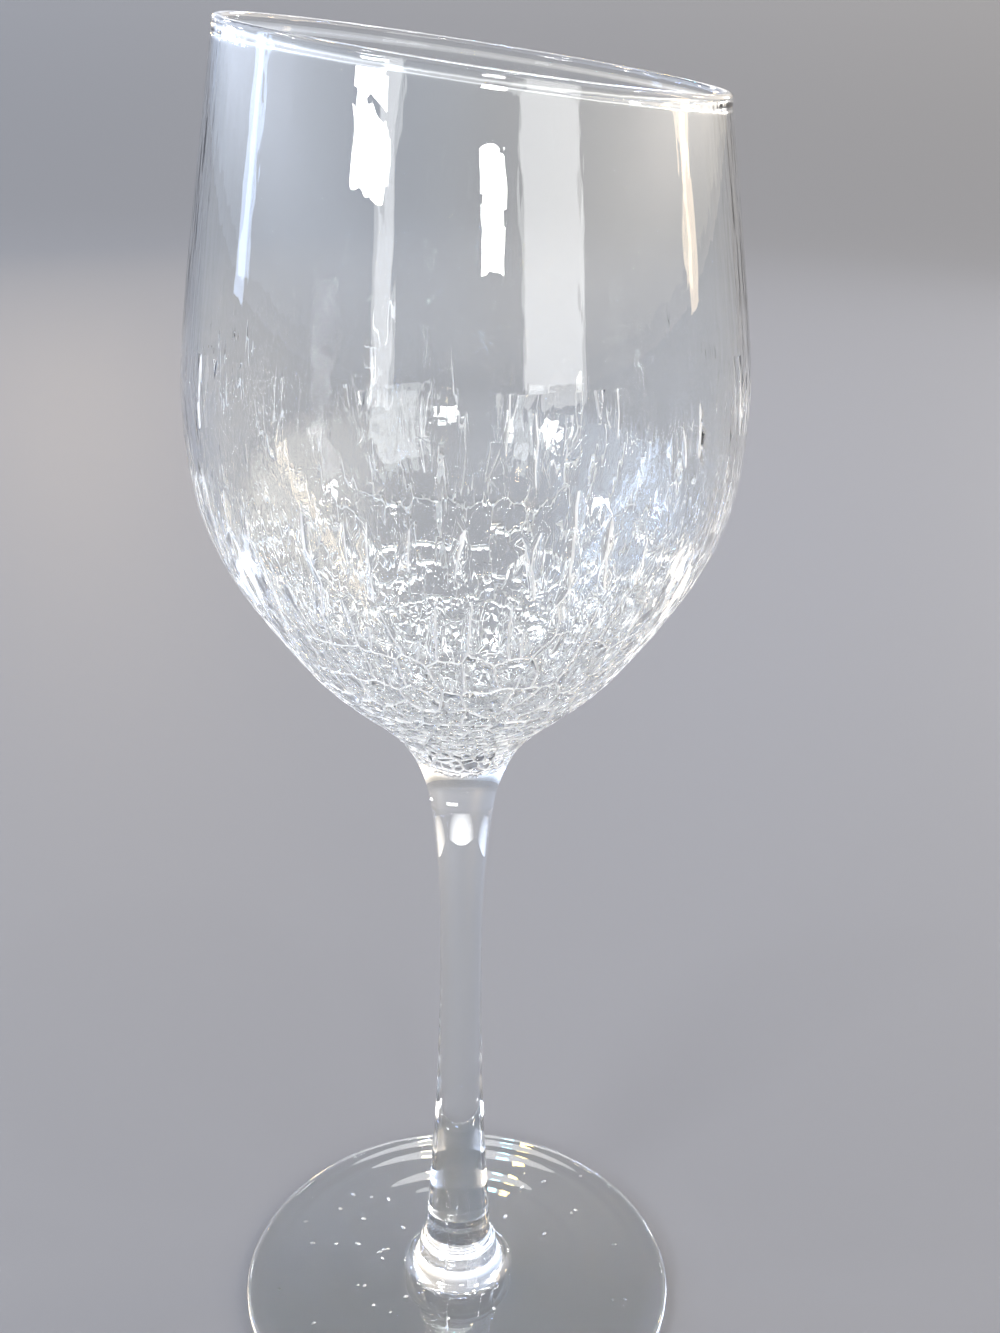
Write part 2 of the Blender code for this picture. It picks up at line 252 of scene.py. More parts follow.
# Foot and stem, from the middle of the underside out, over the edge and up
foot_radius = FOOT_DIAMETER / 2
half_edge = FOOT_EDGE_THICKNESS / 2
rest_outer = foot_radius - half_edge
rest_inner = rest_outer - FOOT_REST_WIDTH
dish_middle = FOOT_DISH_DEPTH * 1.1
hub = (FOOT_HUB_DIAMETER / 2, FOOT_HUB_HEIGHT)
under = bezier((0.5, dish_middle), (hub[0], dish_middle),
               (rest_inner * 0.75, FOOT_DISH_DEPTH * 0.35), (rest_inner, 0.0), 22)
turns = [math.radians(turn) for turn in range(0, 181, 15)]
under += [(rest_outer + half_edge * math.sin(turn), half_edge * (1 - math.cos(turn)))
          for turn in turns]
top_edge = (rest_outer, FOOT_EDGE_THICKNESS)
rise = FOOT_HUB_HEIGHT - FOOT_EDGE_THICKNESS
foot_top = bezier(top_edge, (foot_radius * 0.7, top_edge[1] + rise * 0.34),
                  (foot_radius * 0.45, hub[1] - rise * 0.3), hub, 72)
# Rings left by the press, uneven in spacing and height, which fade out at the edge and the hub
for radius, height in foot_top[:-1]:
    from_ends = max(0.0, min(1.0, (radius - FOOT_RIPPLE_START) / FOOT_RIPPLE_FADES[0],
                             (rest_outer - radius) / FOOT_RIPPLE_FADES[1]))
    wave = math.sin(math.tau * radius / FOOT_RIPPLE_LENGTH + 1.6 * math.sin(radius * 0.31))
    wave *= 0.65 + 0.35 * math.sin(radius * 0.53)
    under.append((radius, height + FOOT_RIPPLE_HEIGHT * from_ends * wave))
under.append(hub)
collar = (COLLAR_DIAMETER / 2, FOOT_HUB_HEIGHT + COLLAR_HEIGHT * 0.68)
stem_foot = (STEM_FOOT_DIAMETER / 2, COLLAR_TOP)
waist = (STEM_WAIST_DIAMETER / 2, WAIST_Z)
stem = (
    bezier(hub, (hub[0] * 0.84, hub[1] + COLLAR_HEIGHT * 0.08),
           (collar[0] * 1.08, collar[1] - COLLAR_HEIGHT * 0.4), collar, 12)
    + bezier(collar, (collar[0] * 0.98, collar[1] + COLLAR_HEIGHT * 0.14),
             (stem_foot[0], stem_foot[1] - COLLAR_HEIGHT * 0.2), stem_foot, 8)
    + bezier(stem_foot, toward(stem_foot, -0.04, STEM_LOWER_LENGTH * 0.3),
             toward(waist, 0, -STEM_LOWER_LENGTH * 0.62), waist, 40)
    + bezier(waist, toward(waist, 0, STEM_UPPER_LENGTH * 0.35),
             toward(stem_top, STEM_TOP_SLOPE, -STEM_UPPER_LENGTH * 0.5), stem_top, 16))
crackle_start = outer.along_at(STEM_TOP_Z + CRACKLE_START)
stem += [outer.at(crackle_start * part / 8) for part in range(1, 8)]
FINE_RINGS_FROM = 12
base = [ring(radius, height, FOOT_SEGMENTS if radius > FINE_RINGS_FROM else STEM_SEGMENTS)
        for radius, height in under + stem]
cap(base[0], dish_middle, False)
stack(base)

# Crackle: plates as in the CAD, each broken into chips. The surface is unrolled so that a plate
# is about as tall as wide there, then stretched along the bowl toward the top.
PLATE_WIDTH = (3.7, 6.4)
CHIP_WIDTH = (1.8, 3.0)
PLATE_LOOSENESS = 0.31
CHIP_LOOSENESS = 0.34
PLATES_AT_ENDS = (24, 60)
PLATE_SEED = 11
CHIP_SEED = 5
PLATE_STRETCH_HIGH = 2.3
CHIP_SINK = 0.12
CHIP_TILT = 0.22
UNROLL_STEPS = 240
# Changes up the zone: each starts at the first share of its height and takes the second
PLATES_STRETCH = (0.25, 0.35)
CHIPS_ROUGHEN = (0.0, 0.06)
CHIPS_SMOOTHEN = (0.22, 0.25)
CRACKS_START = (0.0, 0.04)
FINE_CRACKS_HEAL = (0.12, 0.25)
FINE_THREADS_START = (0.4, 0.1)
LEVEL_CRACKS_HEAL = (0.42, 0.2)
SLIVERS_START = (0.7, 0.12)
# The top end of the cracks is ragged: each plate moves it by its own share
CRACKS_END = 0.93
CRACKS_END_FADE = 0.2
CRACKS_END_SHIFT = (-0.16, 0.10)
crackle_end = outer.along_at(FLARE_Z + CRACKLE_END)


def share(distance):
    """How far up the crackle zone this is, from 0 to 1."""
    return min(1.0, max(0.0, (distance - crackle_start) / (crackle_end - crackle_start)))


def rising(value, start, length):
    """0 up to the start, 1 once past its length, and smooth between the two."""
    value = min(1.0, max(0.0, (value - start) / length))
    return value * value * (3 - 2 * value)


def stretch(distance):
    """How many times taller than wide a plate is there."""
    return 1.0 + (PLATE_STRETCH_HIGH - 1.0) * rising(share(distance), *PLATES_STRETCH)


distances = [crackle_start + (crackle_end - crackle_start) * i / UNROLL_STEPS
             for i in range(UNROLL_STEPS + 1)]
unrolled = [0.0]
for near, far in zip(distances, distances[1:]):
    middle = (near + far) / 2
    unrolled.append(unrolled[-1] + (far - near) / (outer.at(middle)[0] * stretch(middle)))


def distance_of(level):
    """Distance along the outline of a height in the unrolled zone."""
    low, part = find(unrolled, min(unrolled[-1], max(0.0, level)))
    return distances[low] + (distances[low + 1] - distances[low]) * part


def scatter(chance, widths, first_count, last_count, loose):
    """Seeds in loose rows over the unrolled zone, and even rows beyond its two edges that keep
    the edges straight."""
    rows = []
    level = 0.0
    while True:
        here = distance_of(level)
        width = widths[0] + (widths[1] - widths[0]) * share(here)
        count = max(8, round(math.tau * outer.at(here)[0] / width)) if rows else first_count
        pitch = math.tau / count
        if unrolled[-1] - level < pitch * 1.7:
            break
        rows.append((level + pitch / 2, count, pitch))
        level += pitch
    rows.append(((level + unrolled[-1]) / 2, last_count, unrolled[-1] - level))
    seeds = []
    for number, (row_level, count, pitch) in enumerate(rows):
        even = number in (0, len(rows) - 1)
        shift = 0.5 if even else chance.random()
        slack = 0.0 if even else loose
        for i in range(count):
            angle = math.tau / count * (i + shift + chance.uniform(-slack, slack))
            seeds.append((angle % math.tau, row_level + pitch * chance.uniform(-slack, slack)))
    beyond = []
    for number, edge_level in ((0, 0.0), (len(rows) - 1, unrolled[-1])):
        row_level, count, pitch = rows[number]
        for i in range(count):
            beyond.append((math.tau / count * (i + 0.5), 2 * edge_level - row_level))
    return seeds, beyond


def turned_copies(seeds):
    """The seeds again one turn back and one turn on, near the seam, each with its number."""
    return [(angle + turn * math.tau, height, number) for turn in (-1, 0, 1)
            for number, (angle, height) in enumerate(seeds)
            if -1.2 < angle + turn * math.tau < math.tau + 1.2]


def chip_round(home, copies):
    """The corners of the area nearer to this seed than to any other, each with the number of
    the seed across the side that starts there."""
    reach = 0.7   # well past the next row of seeds
    shape = [(home[0] + x, home[1] + y, -1) for x, y in ((-1, -1), (1, -1), (1, 1), (-1, 1))]
    near = sorted((math.hypot(x - home[0], y - home[1]), x, y, number)
                  for x, y, number in copies
                  if abs(x - home[0]) < reach and abs(y - home[1]) < reach)
    for gap, other_x, other_y, number in near[1:]:
        if gap > 2 * max(math.hypot(x - home[0], y - home[1]) for x, y, _ in shape):
            break
        away_x, away_y = other_x - home[0], other_y - home[1]
        limit = (away_x * (other_x + home[0]) + away_y * (other_y + home[1])) / 2
        over = [x * away_x + y * away_y - limit for x, y, _ in shape]
        kept = []
        for i, (x, y, across) in enumerate(shape):
            j = (i + 1) % len(shape)
            if over[i] <= 0:
                kept.append((x, y, across))
            if over[i] * over[j] < 0:
                part = over[i] / (over[i] - over[j])
                cut = (x + (shape[j][0] - x) * part, y + (shape[j][1] - y) * part)
                kept.append((*cut, number if over[i] < 0 else across))
        shape = kept
    return shape


plates, plates_beyond = scatter(random.Random(PLATE_SEED), PLATE_WIDTH, *PLATES_AT_ENDS,
                                PLATE_LOOSENESS)
chance = random.Random(CHIP_SEED)
chips, chips_beyond = scatter(chance, CHIP_WIDTH, STEM_SEGMENTS, RIM_SEGMENTS, CHIP_LOOSENESS)
all_plates = plates + plates_beyond
all_chips = chips + chips_beyond
chip_copies = turned_copies(all_chips)
plate_copies = turned_copies(all_plates)
plate_of = []
for angle, height in all_chips:
    near = [(math.hypot(x - angle, y - height), number) for x, y, number in plate_copies
            if abs(y - height) < 0.6]
    plate_of.append(min(near)[1])
end_shift = [chance.uniform(*CRACKS_END_SHIFT) for _ in all_plates]
chip_sink = [chance.uniform(0.0, CHIP_SINK) for _ in chips]
chip_tilt = [(chance.uniform(-CHIP_TILT, CHIP_TILT), chance.uniform(-CHIP_TILT, CHIP_TILT))
             for _ in chips]

# Chips share their corners: places closer than the grid are one corner
GRID = 1e-5
corner_places = []
corner_at = {}


def corner_number(angle, height):
    """The number of the corner at this place, and the turn at which it was asked for."""
    turn = math.floor(angle / math.tau + GRID)
    place = (angle - turn * math.tau, height)
    cell = (round(place[0] / GRID), round(place[1] / GRID))
    for x in (0, -1, 1):
        for y in (0, -1, 1):
            number = corner_at.get((cell[0] + x, cell[1] + y))
            if number is not None:
                return number, turn
    corner_at[cell] = len(corner_places)
    corner_places.append(place)
    return corner_at[cell], turn


def corner_place(corner, turn):
    """(angle, height) of a corner, this many turns on."""
    angle, height = corner_places[corner]
    return angle + turn * math.tau, height


def on_edge(place):
    """Whether a place is on the lower or the upper edge of the zone."""
    return min(abs(place[1]), abs(place[1] - unrolled[-1])) < GRID


def span(place_a, place_b):
    """Millimetres over the glass between two places in the zone."""
    radius = outer.at(distance_of((place_a[1] + place_b[1]) / 2))[0]
    return math.hypot((place_a[0] - place_b[0]) * radius,
                      distance_of(place_a[1]) - distance_of(place_b[1]))


def apart(seed_a, seed_b):
    """How far apart two seeds are round the axis and along the bowl."""
    return (abs((seed_a[0] - seed_b[0] + math.pi) % math.tau - math.pi),
            abs(seed_a[1] - seed_b[1]))


def draw_for(first, second, prime):
    """Random draws that belong to a pair of numbers, whatever the order of the work."""
    return random.Random(first * prime + second)


def crack_strength(a, b, place_a, place_b):
    """How open the crack is on the side between two chips: wide between plates, fine or healed
    inside one, upright high on the bowl, and gone at both ends of the zone."""
    part = share(distance_of((place_a[1] + place_b[1]) / 2))
    one, two = sorted((plate_of[a], plate_of[b]))
    luck = draw_for(min(a, b), max(a, b), 7919).random()
    end = CRACKS_END + end_shift[one] + end_shift[two]
    ends = rising(part, *CRACKS_START) * rising(end - part, 0.0, CRACKS_END_FADE)
    if one == two:
        across, along = apart(all_chips[a], all_chips[b])
        fine = 0.95 * luck ** 1.1 * (1.0 - rising(part, *FINE_CRACKS_HEAL))
        thread = 0.8 if across > 2.0 * along and luck > 0.72 else 0.0
        return max(fine, thread * rising(part, *FINE_THREADS_START)) * ends
    across, along = apart(all_plates[one], all_plates[two])
    upright = rising(across / (across + along), 0.5, 0.2)
    strength = draw_for(one, two, 6151).uniform(0.65, 1.0) * (0.9 + 0.1 * luck)
    return strength * (1.0 - rising(part, *LEVEL_CRACKS_HEAL) * (1.0 - upright)) * ends


# Every chip's corners, as (corner, turn, chip across the side that starts there). The ends of a
# side that is too short are drawn into one corner, the leader of both.
SHORTEST_SIDE = 0.22
chip_corners = [[(*corner_number(x, y), across) for x, y, across in chip_round(home, chip_copies)]
                for home in chips]
leader = [(number, 0) for number in range(len(corner_places))]


def lead(number, turn):
    """The corner that this one was drawn into, and its turn."""
    while leader[number][0] != number:
        number, more = leader[number]
        turn += more
    return number, turn


for corners in chip_corners:
    for first, second in zip(corners, corners[1:] + corners[:1]):
        a, b = lead(first[0], first[1]), lead(second[0], second[1])
        place_a, place_b = corner_place(*a), corner_place(*b)
        if a[0] == b[0] or span(place_a, place_b) > SHORTEST_SIDE:
            continue
        if not on_edge(place_b):
            leader[b[0]] = (a[0], a[1] - b[1])
        elif not on_edge(place_a):
            leader[a[0]] = (b[0], b[1] - a[1])

# Sides shared by two chips: each has one strength and one length, and each corner knows which
# others it meets along the cracks between plates
side_strength = {}
side_length = {}
met = {}
for number, corners in enumerate(chip_corners):
    kept = []
    for corner, turn, across in corners:
        corner, turn = lead(corner, turn)
        if kept and kept[-1][0] == corner:
            kept[-1] = (corner, turn, across)
        else:
            kept.append((corner, turn, across))
    if len(kept) > 1 and kept[0][0] == kept[-1][0]:
        kept.pop()
    chip_corners[number] = kept
    for i, (corner, turn, across) in enumerate(kept):
        other, other_turn, _ = kept[(i + 1) % len(kept)]
        place_a, place_b = corner_place(corner, turn), corner_place(other, other_turn)
        key = (min(corner, other), max(corner, other))
        if key not in side_strength:
            edge = on_edge(place_a) and on_edge(place_b)
            strength = 0.0 if edge else crack_strength(number, across, place_a, place_b)
            side_strength[key] = strength
            side_length[key] = span(place_a, place_b)
            if not edge and plate_of[number] != plate_of[across]:
                met.setdefault(corner, []).append((other, other_turn - turn))
                met.setdefault(other, []).append((corner, turn - other_turn))

# Cracks that join up are one crack, and one too short to be real is closed again
OPEN_CRACK = 0.1
SHORTEST_CRACK = 6.0
part_of = list(range(len(corner_places)))


def root_of(corner):
    """The corner that stands for all those joined to this one by open cracks."""
    while part_of[corner] != corner:
        corner = part_of[corner]
    return corner


for (one, two), strength in side_strength.items():
    if strength > OPEN_CRACK:
        part_of[root_of(one)] = root_of(two)
crack_length = {}
for (one, two), strength in side_strength.items():
    if strength > OPEN_CRACK:
        crack_length[root_of(one)] = crack_length.get(root_of(one), 0.0) + side_length[one, two]
meeting = {}
for key, strength in side_strength.items():
    if strength <= OPEN_CRACK or crack_length[root_of(key[0])] < SHORTEST_CRACK:
        side_strength[key] = 0.0
    for end in key:
        meeting.setdefault(end, []).append(side_strength[key])

# A crack runs through a corner where two open sides meet, and ends in one where only one does
corner_strength = {corner: sorted(strengths)[-2] for corner, strengths in meeting.items()}

# A crack between plates runs on smoothly where just two of its sides meet
first_places = list(corner_places)
for _ in range(3):
    eased = {}
    for corner, others in met.items():
        angle, height = corner_places[corner]
        if len(others) != 2 or on_edge((angle, height)):
            continue
        goal = [sum(corner_place(*other)[axis] for other in others) / 2 for axis in (0, 1)]
        eased[corner] = ((angle + goal[0]) / 2, (height + goal[1]) / 2)
    for corner, place in eased.items():
        corner_places[corner] = place


SMALLEST_WEDGE = 0.12


def folded(corners):
    """Whether a chip's outline, seen from its middle, turns back on itself."""
    places = [corner_place(corner, turn) for corner, turn, _ in corners]
    middle = [sum(place[axis] for place in places) / len(places) for axis in (0, 1)]
    radius = outer.at(distance_of(middle[1]))[0]
    for a, b in zip(places, places[1:] + places[:1]):
        area = (a[0] - middle[0]) * (b[1] - middle[1]) - (b[0] - middle[0]) * (a[1] - middle[1])
        if area * radius ** 2 < SMALLEST_WEDGE:
            return True
    return False


for _ in range(4):
    for corners in chip_corners:
        if folded(corners):
            for corner, _, _ in corners:
                corner_places[corner] = first_places[corner]


# The chips themselves: a flat face, and walls that slope down to the cracks round it
GROOVE_DEPTH = 0.6
GROOVE_HALF_WIDTH = 0.25
HEALED_HALF_WIDTH = 0.1
SLIVER_GAIN = 3.6
SLIVER_CHANCE = 0.12
SLIVER_CHANCE_AT_SIDES = 0.3
BENT_SIDE = 0.7
LONG_SIDE = 1.4
SIDE_BEND = 0.13
SMALLEST_FACE = 0.02
EDGE_MARGIN = 0.02
SHARP_GROOVE = 0.06
ROUGH_CHIP = 0.1


def crack_spot(distance, strength, angle):
    """A vertex at the bottom of a crack."""
    return spot(*outer.at(distance, GROOVE_DEPTH * strength), angle)


corner_spots = {}
middle_spots = {}


def shared_corner(corner):
    """The vertex of a corner, made once for all the chips that meet there."""
    if corner not in corner_spots:
        angle, height = corner_places[corner]
        corner_spots[corner] = crack_spot(distance_of(height), corner_strength[corner], angle)
    return corner_spots[corner]


for number, corners in enumerate(chip_corners):
    home_distance = distance_of(chips[number][1])
    home_radius = outer.at(home_distance)[0]
    rim_spots = []
    flat = []
    strengths = []
    for i, (corner, turn, _) in enumerate(corners):
        other, other_turn, _ = corners[(i + 1) % len(corners)]
        here, there = corner_place(corner, turn), corner_place(other, other_turn)
        (angle, height), (other_angle, other_height) = here, there
        rim_spots.append(shared_corner(corner))
        flat.append((angle * home_radius, distance_of(height)))
        strengths.append(corner_strength[corner])
        length = span(here, there)
        if length < BENT_SIDE or (on_edge(here) and on_edge(there)):
            continue
        # One point bends a side that is as open in its middle as at its ends. Two points keep
        # the middle of a long healed side shallow between deeper ends.
        key = (min(corner, other), max(corner, other))
        if key not in middle_spots:
            draw = draw_for(*key, 104729)
            deepest = max(corner_strength[corner], corner_strength[other])
            even = length < LONG_SIDE or side_strength[key] > 0.6 * deepest
            bend = draw.uniform(-SIDE_BEND, SIDE_BEND) * (1.0 if even else 0.5)
            made = []
            for part in [draw.uniform(0.38, 0.62)] if even else [0.2, 0.8]:
                low_angle = angle + (other_angle - angle) * part - (other_height - height) * bend
                low_angle -= turn * math.tau
                low_height = height + (other_height - height) * part
                low_height += (other_angle - angle) * bend
                mean = (corner_strength[corner] + corner_strength[other]) / 4
                mean += side_strength[key] / 2
                strength = min(mean, side_strength[key] * 1.15)
                made.append((low_angle, low_height, crack_spot(
                    distance_of(low_height), strength, low_angle), strength))
            middle_spots[key] = (corner, made)
        first, made = middle_spots[key]
        for low_angle, low_height, mid_spot, strength in made if first == corner else made[::-1]:
            whole = round((angle - low_angle) / math.tau)
            rim_spots.append(mid_spot)
            flat.append(((low_angle + whole * math.tau) * home_radius, distance_of(low_height)))
            strengths.append(strength)
    count = len(flat)
    centre = [sum(p[axis] for p in flat) / count for axis in (0, 1)]
    part = share(home_distance)
    rough = rising(part, *CHIPS_ROUGHEN) * (1.0 - rising(part, *CHIPS_SMOOTHEN))
    tilt_x, tilt_y = chip_tilt[number]

    def chip_depth(x, y):
        """How far the chip's face lies under the glass's outline at this place."""
        low = chip_sink[number] + tilt_x * (x - centre[0]) + tilt_y * (y - centre[1])
        return max(0.0, low) * rough

    # Half widths of the cracks. Some are long slivers, most of all at the bowl's left and right.
    draw = draw_for(number, 7, 31)
    at_sides = rising(abs(math.cos(chips[number][0])), 0.4, 0.25)
    widths = []
    for i in range(count):
        mean = (strengths[i] + strengths[(i + 1) % count]) / 2
        width = HEALED_HALF_WIDTH + (GROOVE_HALF_WIDTH - HEALED_HALF_WIDTH) * mean
        width *= draw.uniform(0.6, 1.4)
        if draw.random() < SLIVER_CHANCE + SLIVER_CHANCE_AT_SIDES * at_sides:
            width *= 1.0 + SLIVER_GAIN * rising(part, *SLIVERS_START) * rising(mean, 0.0, 0.3)
        widths.append(width)

    # Each corner of the face moves in from both of its sides, and less where the face would fold
    moves = []
    for i, here in enumerate(flat):
        before, after = flat[i - 1], flat[(i + 1) % count]
        run_in = max(1e-6, math.dist(before, here))
        run_out = max(1e-6, math.dist(here, after))
        normal_in = ((before[1] - here[1]) / run_in, (here[0] - before[0]) / run_in)
        normal_out = ((here[1] - after[1]) / run_out, (after[0] - here[0]) / run_out)
        both = 1 + normal_in[0] * normal_out[0] + normal_in[1] * normal_out[1]
        width = (widths[i - 1] + widths[i]) / 2 / max(both, 0.5)
        move = [width * (normal_in[axis] + normal_out[axis]) for axis in (0, 1)]
        limit = min(1.0, math.dist(here, centre) * 0.6 / max(1e-6, math.hypot(*move)))
        moves.append([move[0] * limit, move[1] * limit])
    for _ in range(8):
        face_corners = [(here[0] + move[0] - centre[0], here[1] + move[1] - centre[1])
                        for here, move in zip(flat, moves)]
        for i, (a, b) in enumerate(zip(face_corners, face_corners[1:] + face_corners[:1])):
            if a[0] * b[1] - b[0] * a[1] < SMALLEST_FACE:
                for end in (i, (i + 1) % count):
                    moves[end] = [moves[end][0] * 0.6, moves[end][1] * 0.6]
    inset = []
    for here, move in zip(flat, moves):
        x, y = here[0] + move[0], here[1] + move[1]
        y = min(crackle_end - EDGE_MARGIN, max(crackle_start + EDGE_MARGIN, y))
        inset.append(spot(*outer.at(y, chip_depth(x, y)), x / home_radius))
    middle = spot(*outer.at(centre[1], chip_depth(*centre)), centre[0] / home_radius)
    for i in range(count):
        j = (i + 1) % count
        if strengths[i] + strengths[j] > SHARP_GROOVE or rough > ROUGH_CHIP:
            sharp_faces.add(len(faces))
        if strengths[i] + strengths[j] > OPEN_CRACK:
            crack_faces.add(len(faces))
        faces.append((rim_spots[i], rim_spots[j], inset[j], inset[i]))
        faces.append((inset[i], inset[j], middle))


def edge_ring(edge_level):
    """The corners on one edge of the zone, in order round the axis."""
    found = [(corner_places[corner][0] % math.tau, number)
             for corner, number in corner_spots.items()
             if abs(corner_places[corner][1] - edge_level) < GRID]
    from_seam = [(angle if angle < math.tau - 1e-4 else 0.0, number) for angle, number in found]
    return [number for _, number in sorted(from_seam)]


band(base[-1], edge_ring(0.0))

# Upper bowl: clear wall up to the slanted rim, which is rounded by the flame, and down inside
WALL_RINGS = 20
NEAR_RIM = 0.975
CUP_RINGS = 60
CUP_FINE_RINGS_FROM = 8


def wall_ring(outline, start, part, count):
    """A ring this share of the way from a distance along the outline to the slanted rim."""
    found = []
    for i in range(count):
        angle = math.tau * i / count
        end = rim_distance(outline, angle)
        found.append(spot(*outline.at(start + (end - start) * part), angle))
    return found


mouth = [wall_ring(outer, crackle_end, part / WALL_RINGS, RIM_SEGMENTS)
         for part in range(1, WALL_RINGS)]
mouth.append(wall_ring(outer, crackle_end, NEAR_RIM, RIM_SEGMENTS))
lip = []
for turn in range(0, 181, 20):
    row = []
    for i in range(RIM_SEGMENTS):
        angle = math.tau * i / RIM_SEGMENTS
        outside = outer.at(rim_distance(outer, angle))
        inside = inner.at(rim_distance(inner, angle))
        swell = (outside[0] - inside[0]) / 2 + RIM_BEAD_SWELL
        row.append(spot((outside[0] + inside[0]) / 2 + swell * math.cos(math.radians(turn)),
                        (outside[1] + inside[1]) / 2 + swell * math.sin(math.radians(turn)),
                        angle))
    lip.append(row)
belly_in_along = inner.along_at(BELLY_Z)
down = [wall_ring(inner, belly_in_along, part, CUP_SEGMENTS)
        for part in [NEAR_RIM] + [step / WALL_RINGS for step in range(WALL_RINGS - 1, -1, -1)]]
stack([edge_ring(unrolled[-1])] + mouth + lip + down)
cup = [down[-1]]
for step in range(1, CUP_RINGS):
    radius, height = inner.at(belly_in_along * (1 - step / CUP_RINGS))
    cup.append(ring(radius, height,
                    CUP_SEGMENTS if radius > CUP_FINE_RINGS_FROM else STEM_SEGMENTS))
stack(cup)
cap(cup[-1], cup_floor[1], True)

# Hand work: the whole body strays from a true round by a few hundredths of a millimetre
HAND_STRAY = 0.05
points = [Vector(point) for point in spots]
for point in points:
    radius = math.hypot(point.x, point.y)
    if radius < 0.5 * MM or point.z < 0.002 * MM:
        continue
    stray = noise.noise(Vector((point.x * 60, point.y * 60, point.z * 14)))
    stray += 0.4 * noise.noise(Vector((point.x * 190, point.y * 190, point.z * 30)))
    pull = (HAND_STRAY + HAND_STRAY * stray) * MM * min(1.0, radius / (20 * MM))
    point.x -= point.x / radius * pull
    point.y -= point.y / radius * pull

body_mesh = bpy.data.meshes.new("glass_body")
body_mesh.from_pydata([tuple(point) for point in points], [], faces)
body = bpy.data.objects.new("glass_body", body_mesh)
bpy.context.scene.collection.objects.link(body)
tidied = bmesh.new()
tidied.from_mesh(body_mesh)
tidied.faces.ensure_lookup_table()
bmesh.ops.remove_doubles(tidied, verts=tidied.verts[:], dist=1e-7)
for face in tidied.faces:
    face.smooth = face.index not in sharp_faces
    face.material_index = 1 if face.index in crack_faces else 0
open_edges = [edge for edge in tidied.edges if len(edge.link_faces) != 2]
print("glass body:", len(tidied.verts), "vertices,", len(open_edges), "open edges")
tidied.to_mesh(body_mesh)
tidied.free()


def linear(code):
    """An sRGB hex colour as linear RGBA."""
    values = [int(code[i:i + 2], 16) / 255 for i in (1, 3, 5)]
    return [v / 12.92 if v <= 0.04045 else ((v + 0.055) / 1.055) ** 2.4 for v in values] + [1.0]


def node(tree, kind, settings=None, *ordered, **named):
    """Adds a node with its settings, and gives its inputs, in order or by name, a socket that
    they are linked to or a value."""
    made = tree.nodes.new(kind)
    for name, value in (settings or {}).items():
        setattr(made, name, value)
    given = list(zip([socket for socket in made.inputs if socket.enabled], ordered))
    given += [(made.inputs[name.replace("_", " ")], value) for name, value in named.items()]
    for socket, value in given:
        if isinstance(value, bpy.types.NodeSocket):
            tree.links.new(value, socket)
        else:
            socket.default_value = value
    return made


# Clear soda glass, blown and polished by the flame: its highlights are crisp, and faint upright
# draw lines make their edges waver a little. The pressed foot has none.
GLASS_IOR = 1.51
DRAW_LINE_SPACING = 3.0
DRAW_LINE_LENGTH = 50.0
DRAW_LINE_DEPTH = 0.2
DRAW_LINE_STRENGTH = 0.25
glass = bpy.data.materials.new("clear_soda_glass")
glass.use_nodes = True
tree = glass.node_tree
shader = tree.nodes["Principled BSDF"]
shader.inputs["Base Color"].default_value = linear("#FCFEFE")
shader.inputs["IOR"].default_value = GLASS_IOR
shader.inputs["Roughness"].default_value = 0.0
shader.inputs["Transmission Weight"].default_value = 1.0
place = node(tree, "ShaderNodeTexCoord").outputs["Object"]
drawn = node(tree, "ShaderNodeMapping", Vector=place,
             Scale=(1.0, 1.0, DRAW_LINE_SPACING / DRAW_LINE_LENGTH))
ripple = node(tree, "ShaderNodeTexNoise", Vector=drawn.outputs["Vector"],
              Scale=1 / (DRAW_LINE_SPACING * MM), Detail=2.0)
up_stem = node(tree, "ShaderNodeSeparateXYZ", Vector=place).outputs["Z"]
above_foot = node(tree, "ShaderNodeMapRange", None, up_stem, FOOT_HUB_HEIGHT * MM,
                  (FOOT_HUB_HEIGHT + COLLAR_HEIGHT) * MM, 0.0, DRAW_LINE_STRENGTH)
bump = node(tree, "ShaderNodeBump", Distance=DRAW_LINE_DEPTH * MM, Height=ripple.outputs["Fac"],
            Strength=above_foot.outputs["Result"])
tree.links.new(bump.outputs["Normal"], shader.inputs["Normal"])
body_mesh.materials.append(glass)

# Walls of the cracks: the same glass, torn and not quite healed, so it is matt, scatters light
# and lets some through. The eye sees each crack as a white thread.
TORN_PATCH = 2.4
torn = bpy.data.materials.new("torn_glass")
torn.use_nodes = True
tree = torn.node_tree
shader = tree.nodes["Principled BSDF"]
shader.inputs["Base Color"].default_value = linear("#FBFCFC")
shader.inputs["IOR"].default_value = GLASS_IOR
shader.inputs["Roughness"].default_value = 0.12
place = node(tree, "ShaderNodeTexCoord").outputs["Object"]
patches = node(tree, "ShaderNodeTexNoise", Vector=place, Scale=1 / (TORN_PATCH * MM), Detail=1.0)
clear = node(tree, "ShaderNodeMapRange", None, patches.outputs["Fac"], 0.35, 0.65, 0.1, 0.45)
tree.links.new(clear.outputs["Result"], shader.inputs["Transmission Weight"])
through = node(tree, "ShaderNodeBsdfTranslucent", Color=linear("#FBFCFC"))
both_ways = node(tree, "ShaderNodeMixShader", Fac=0.35)
tree.links.new(shader.outputs["BSDF"], both_ways.inputs[1])
tree.links.new(through.outputs["BSDF"], both_ways.inputs[2])
tree.links.new(both_ways.outputs["Shader"], tree.nodes["Material Output"].inputs["Surface"])
body_mesh.materials.append(torn)
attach(body, "root")
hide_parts("wine_glass")

